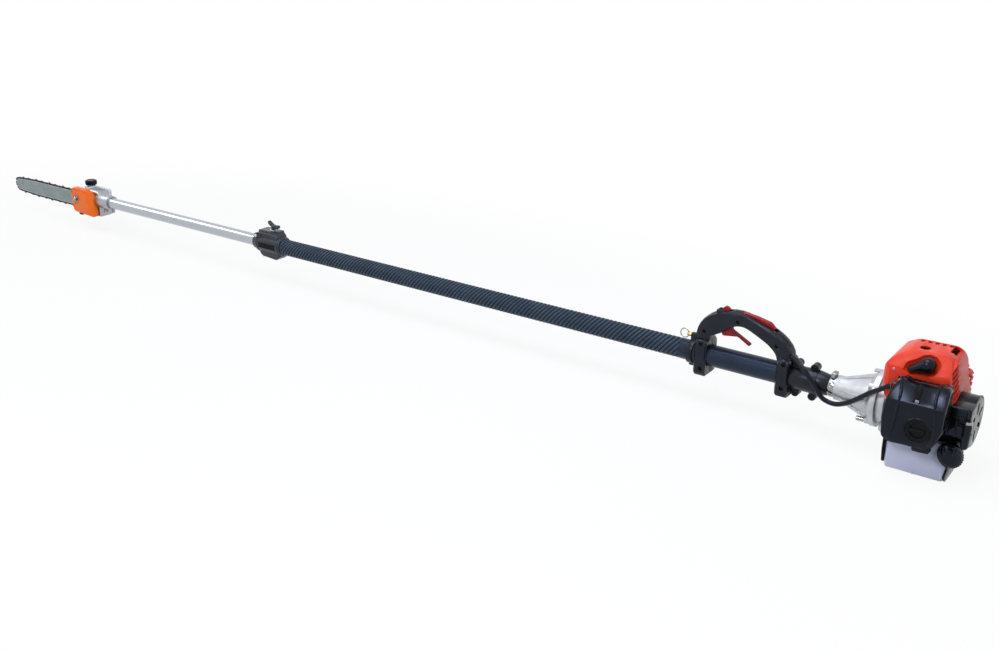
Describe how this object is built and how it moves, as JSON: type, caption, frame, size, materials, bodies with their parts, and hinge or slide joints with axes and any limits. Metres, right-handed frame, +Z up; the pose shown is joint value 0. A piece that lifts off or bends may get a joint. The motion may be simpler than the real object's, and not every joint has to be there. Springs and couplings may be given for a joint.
{
  "type": "petrol pole saw",
  "caption": "Petrol pole saw with an engine, a loop handle, a telescoping pole and a guide bar with saw chain at its end.",
  "frame": {"origin": "on the flat underside of the fuel tank, below the axis of the pole", "axes": "+X runs along the pole towards the saw, +Y is the side of the air cleaner, +Z is up"},
  "size_m": [2.983, 0.2028, 0.2174],
  "materials": {
    "black_plastic": "satin moulded plastic",
    "grip_grey": "ribbed grip sleeve",
    "grip_section": "satin grip section",
    "black_rubber": "dull rubber",
    "red_plastic": "glossy moulded plastic",
    "dark_red_plastic": "glossy moulded plastic",
    "orange_plastic": "glossy moulded plastic",
    "tank_plastic": "translucent blow-moulded plastic",
    "cast_alloy": "die-cast",
    "bright_alloy": "drawn and anodised",
    "steel": "machined",
    "dark_steel": "blackened",
    "bar_steel": "ground",
    "chrome": "plated",
    "brass": "turned",
    "foam": "open foam",
    "fuel_hose": "clear hose"
  },
  "bodies": {
    "frame": {"outer_tube": "bright_alloy", "pole_sleeve": "grip_grey", "grip_tube": "grip_section", "drive_tube_bushing": "black_plastic", "clamp_body": "black_plastic", "handle_left": "black_plastic", "handle_right": "black_plastic", "harness_band": "black_plastic", "coupler_left": "black_plastic", "coupler_right": "black_plastic", "coupler_cone": "black_rubber", "neck_collar": "chrome", "throttle_conduit": "black_rubber", "clutch_housing": "cast_alloy", "crankcase": "cast_alloy", "cylinder": "cast_alloy", "piston": "bright_alloy", "spark_plug": "chrome", "plug_boot": "black_rubber", "engine_cover": "red_plastic", "carburettor": "cast_alloy", "air_cleaner_base": "black_plastic", "air_cleaner_cover": "black_plastic", "air_filter": "foam", "muffler": "dark_steel", "muffler_guard": "red_plastic", "starter_housing": "black_plastic", "ignition_coil": "black_plastic", "fuel_tank": "tank_plastic", "tank_guard": "black_plastic", "fuel_line": "fuel_hose"},
    "head": {"inner_tube": "bright_alloy", "drive_shaft_bushing": "black_plastic", "gearbox_housing": "cast_alloy", "guide_bar": "bar_steel", "saw_chain": "dark_steel", "sprocket_cover": "orange_plastic", "bar_nut": "chrome", "oil_tank": "tank_plastic"},
    "drive": {"clutch_drum": "steel", "drive_tube": "bright_alloy"},
    "shaft": {"drive_shaft": "steel"},
    "sprocket_set": {"bevel_gear": "steel", "sprocket": "steel"},
    "crank": {"crankshaft": "steel", "flywheel": "cast_alloy", "clutch_shoes": "cast_alloy"},
    "knob": {"clamp_knob": "black_plastic"},
    "trigger": {"throttle_trigger": "dark_red_plastic"},
    "lockout": {"lockout_lever": "dark_red_plastic"},
    "switch": {"stop_switch": "dark_red_plastic"},
    "strap_ring": {"harness_swivel": "brass", "harness_ring": "chrome"},
    "carb_lever": {"throttle_lever": "steel"},
    "primer": {"primer_bulb": "black_rubber"},
    "choke": {"choke_knob": "black_plastic"},
    "pull_grip": {"starter_grip": "black_plastic"},
    "reel": {"starter_reel": "black_plastic"},
    "fuel_cap_body": {"fuel_cap": "black_plastic"},
    "oil_cap_body": {"oil_cap": "black_plastic"}
  },
  "joints": [
    {"name": "telescope", "type": "slide", "parent": "frame", "child": "head", "axis": [1, 0, 0], "range_m": [-0.6, 0.5]},
    {"name": "clamp_turn", "type": "hinge", "parent": "frame", "child": "knob", "pos_m": [1.705, 0, 0.1157], "axis": [-0.2588, 0, 0.9659], "range_deg": [0, 180]},
    {"name": "drive_spin", "type": "hinge", "parent": "frame", "child": "drive", "pos_m": [0.118, 0, 0.0965], "axis": [1, 0, 0], "continuous": true},
    {"name": "shaft_spin", "type": "hinge", "parent": "head", "child": "shaft", "pos_m": [2.4, 0, 0.0965], "axis": [1, 0, 0], "continuous": true},
    {"name": "sprocket_spin", "type": "hinge", "parent": "head", "child": "sprocket_set", "pos_m": [2.492, 0, 0.0965], "axis": [0, 1, 0], "continuous": true},
    {"name": "crank_spin", "type": "hinge", "parent": "frame", "child": "crank", "pos_m": [0.026, 0, 0.0965], "axis": [1, 0, 0], "continuous": true},
    {"name": "trigger_pull", "type": "hinge", "parent": "frame", "child": "trigger", "pos_m": [0.409, 0, 0.1745], "axis": [0, 1, 0], "range_deg": [0, 15], "stiffness_Nm_per_rad": 0.12, "springref_deg": -11.46},
    {"name": "lockout_press", "type": "hinge", "parent": "frame", "child": "lockout", "pos_m": [0.367, 0, 0.2015], "axis": [0, -1, 0], "range_deg": [0, 6], "stiffness_Nm_per_rad": 0.12, "springref_deg": -11.46},
    {"name": "switch_slide", "type": "slide", "parent": "frame", "child": "switch", "axis": [1, 0, 0], "range_m": [-0.004, 0.004]},
    {"name": "ring_swivel", "type": "hinge", "parent": "frame", "child": "strap_ring", "pos_m": [0.4754, 0, 0.131], "axis": [1, 0, 0], "continuous": true},
    {"name": "carb_lever_turn", "type": "hinge", "parent": "frame", "child": "carb_lever", "pos_m": [0.048, 0.053, 0.1485], "axis": [1, 0, 0], "range_deg": [0, 61]},
    {"name": "primer_press", "type": "slide", "parent": "frame", "child": "primer", "axis": [0, 0, 1], "range_m": [0, 0.003], "stiffness_N_per_m": 250, "springref_m": -0.003},
    {"name": "choke_turn", "type": "hinge", "parent": "frame", "child": "choke", "pos_m": [-0.0108, 0.112, 0.1045], "axis": [0, 1, 0], "range_deg": [0, 90]},
    {"name": "grip_pull", "type": "slide", "parent": "frame", "child": "pull_grip", "axis": [0, 1, 0], "range_m": [0, 0.5], "stiffness_N_per_m": 12, "springref_m": -0.4},
    {"name": "reel_turn", "type": "hinge", "parent": "frame", "child": "reel", "pos_m": [-0.062, 0, 0.0965], "axis": [1, 0, 0], "range_deg": [-1510, 0]},
    {"name": "fuel_cap_turn", "type": "hinge", "parent": "frame", "child": "fuel_cap_body", "pos_m": [-0.0535, 0.0555, 0.0455], "axis": [-0.6202, 0.4802, 0.6202], "range_deg": [0, 360]},
    {"name": "oil_cap_turn", "type": "hinge", "parent": "head", "child": "oil_cap_body", "pos_m": [2.5688, -0.045, 0.1165], "axis": [0, 0, 1], "range_deg": [0, 360]}
  ],
  "couplings": [
    {"joint": "shaft_spin", "follows": "drive_spin", "ratio": 1},
    {"joint": "sprocket_spin", "follows": "drive_spin", "ratio": -0.42857},
    {"joint": "carb_lever_turn", "follows": "trigger_pull", "ratio": 4},
    {"joint": "reel_turn", "follows": "grip_pull", "rad_per_m": -52.632}
  ]
}
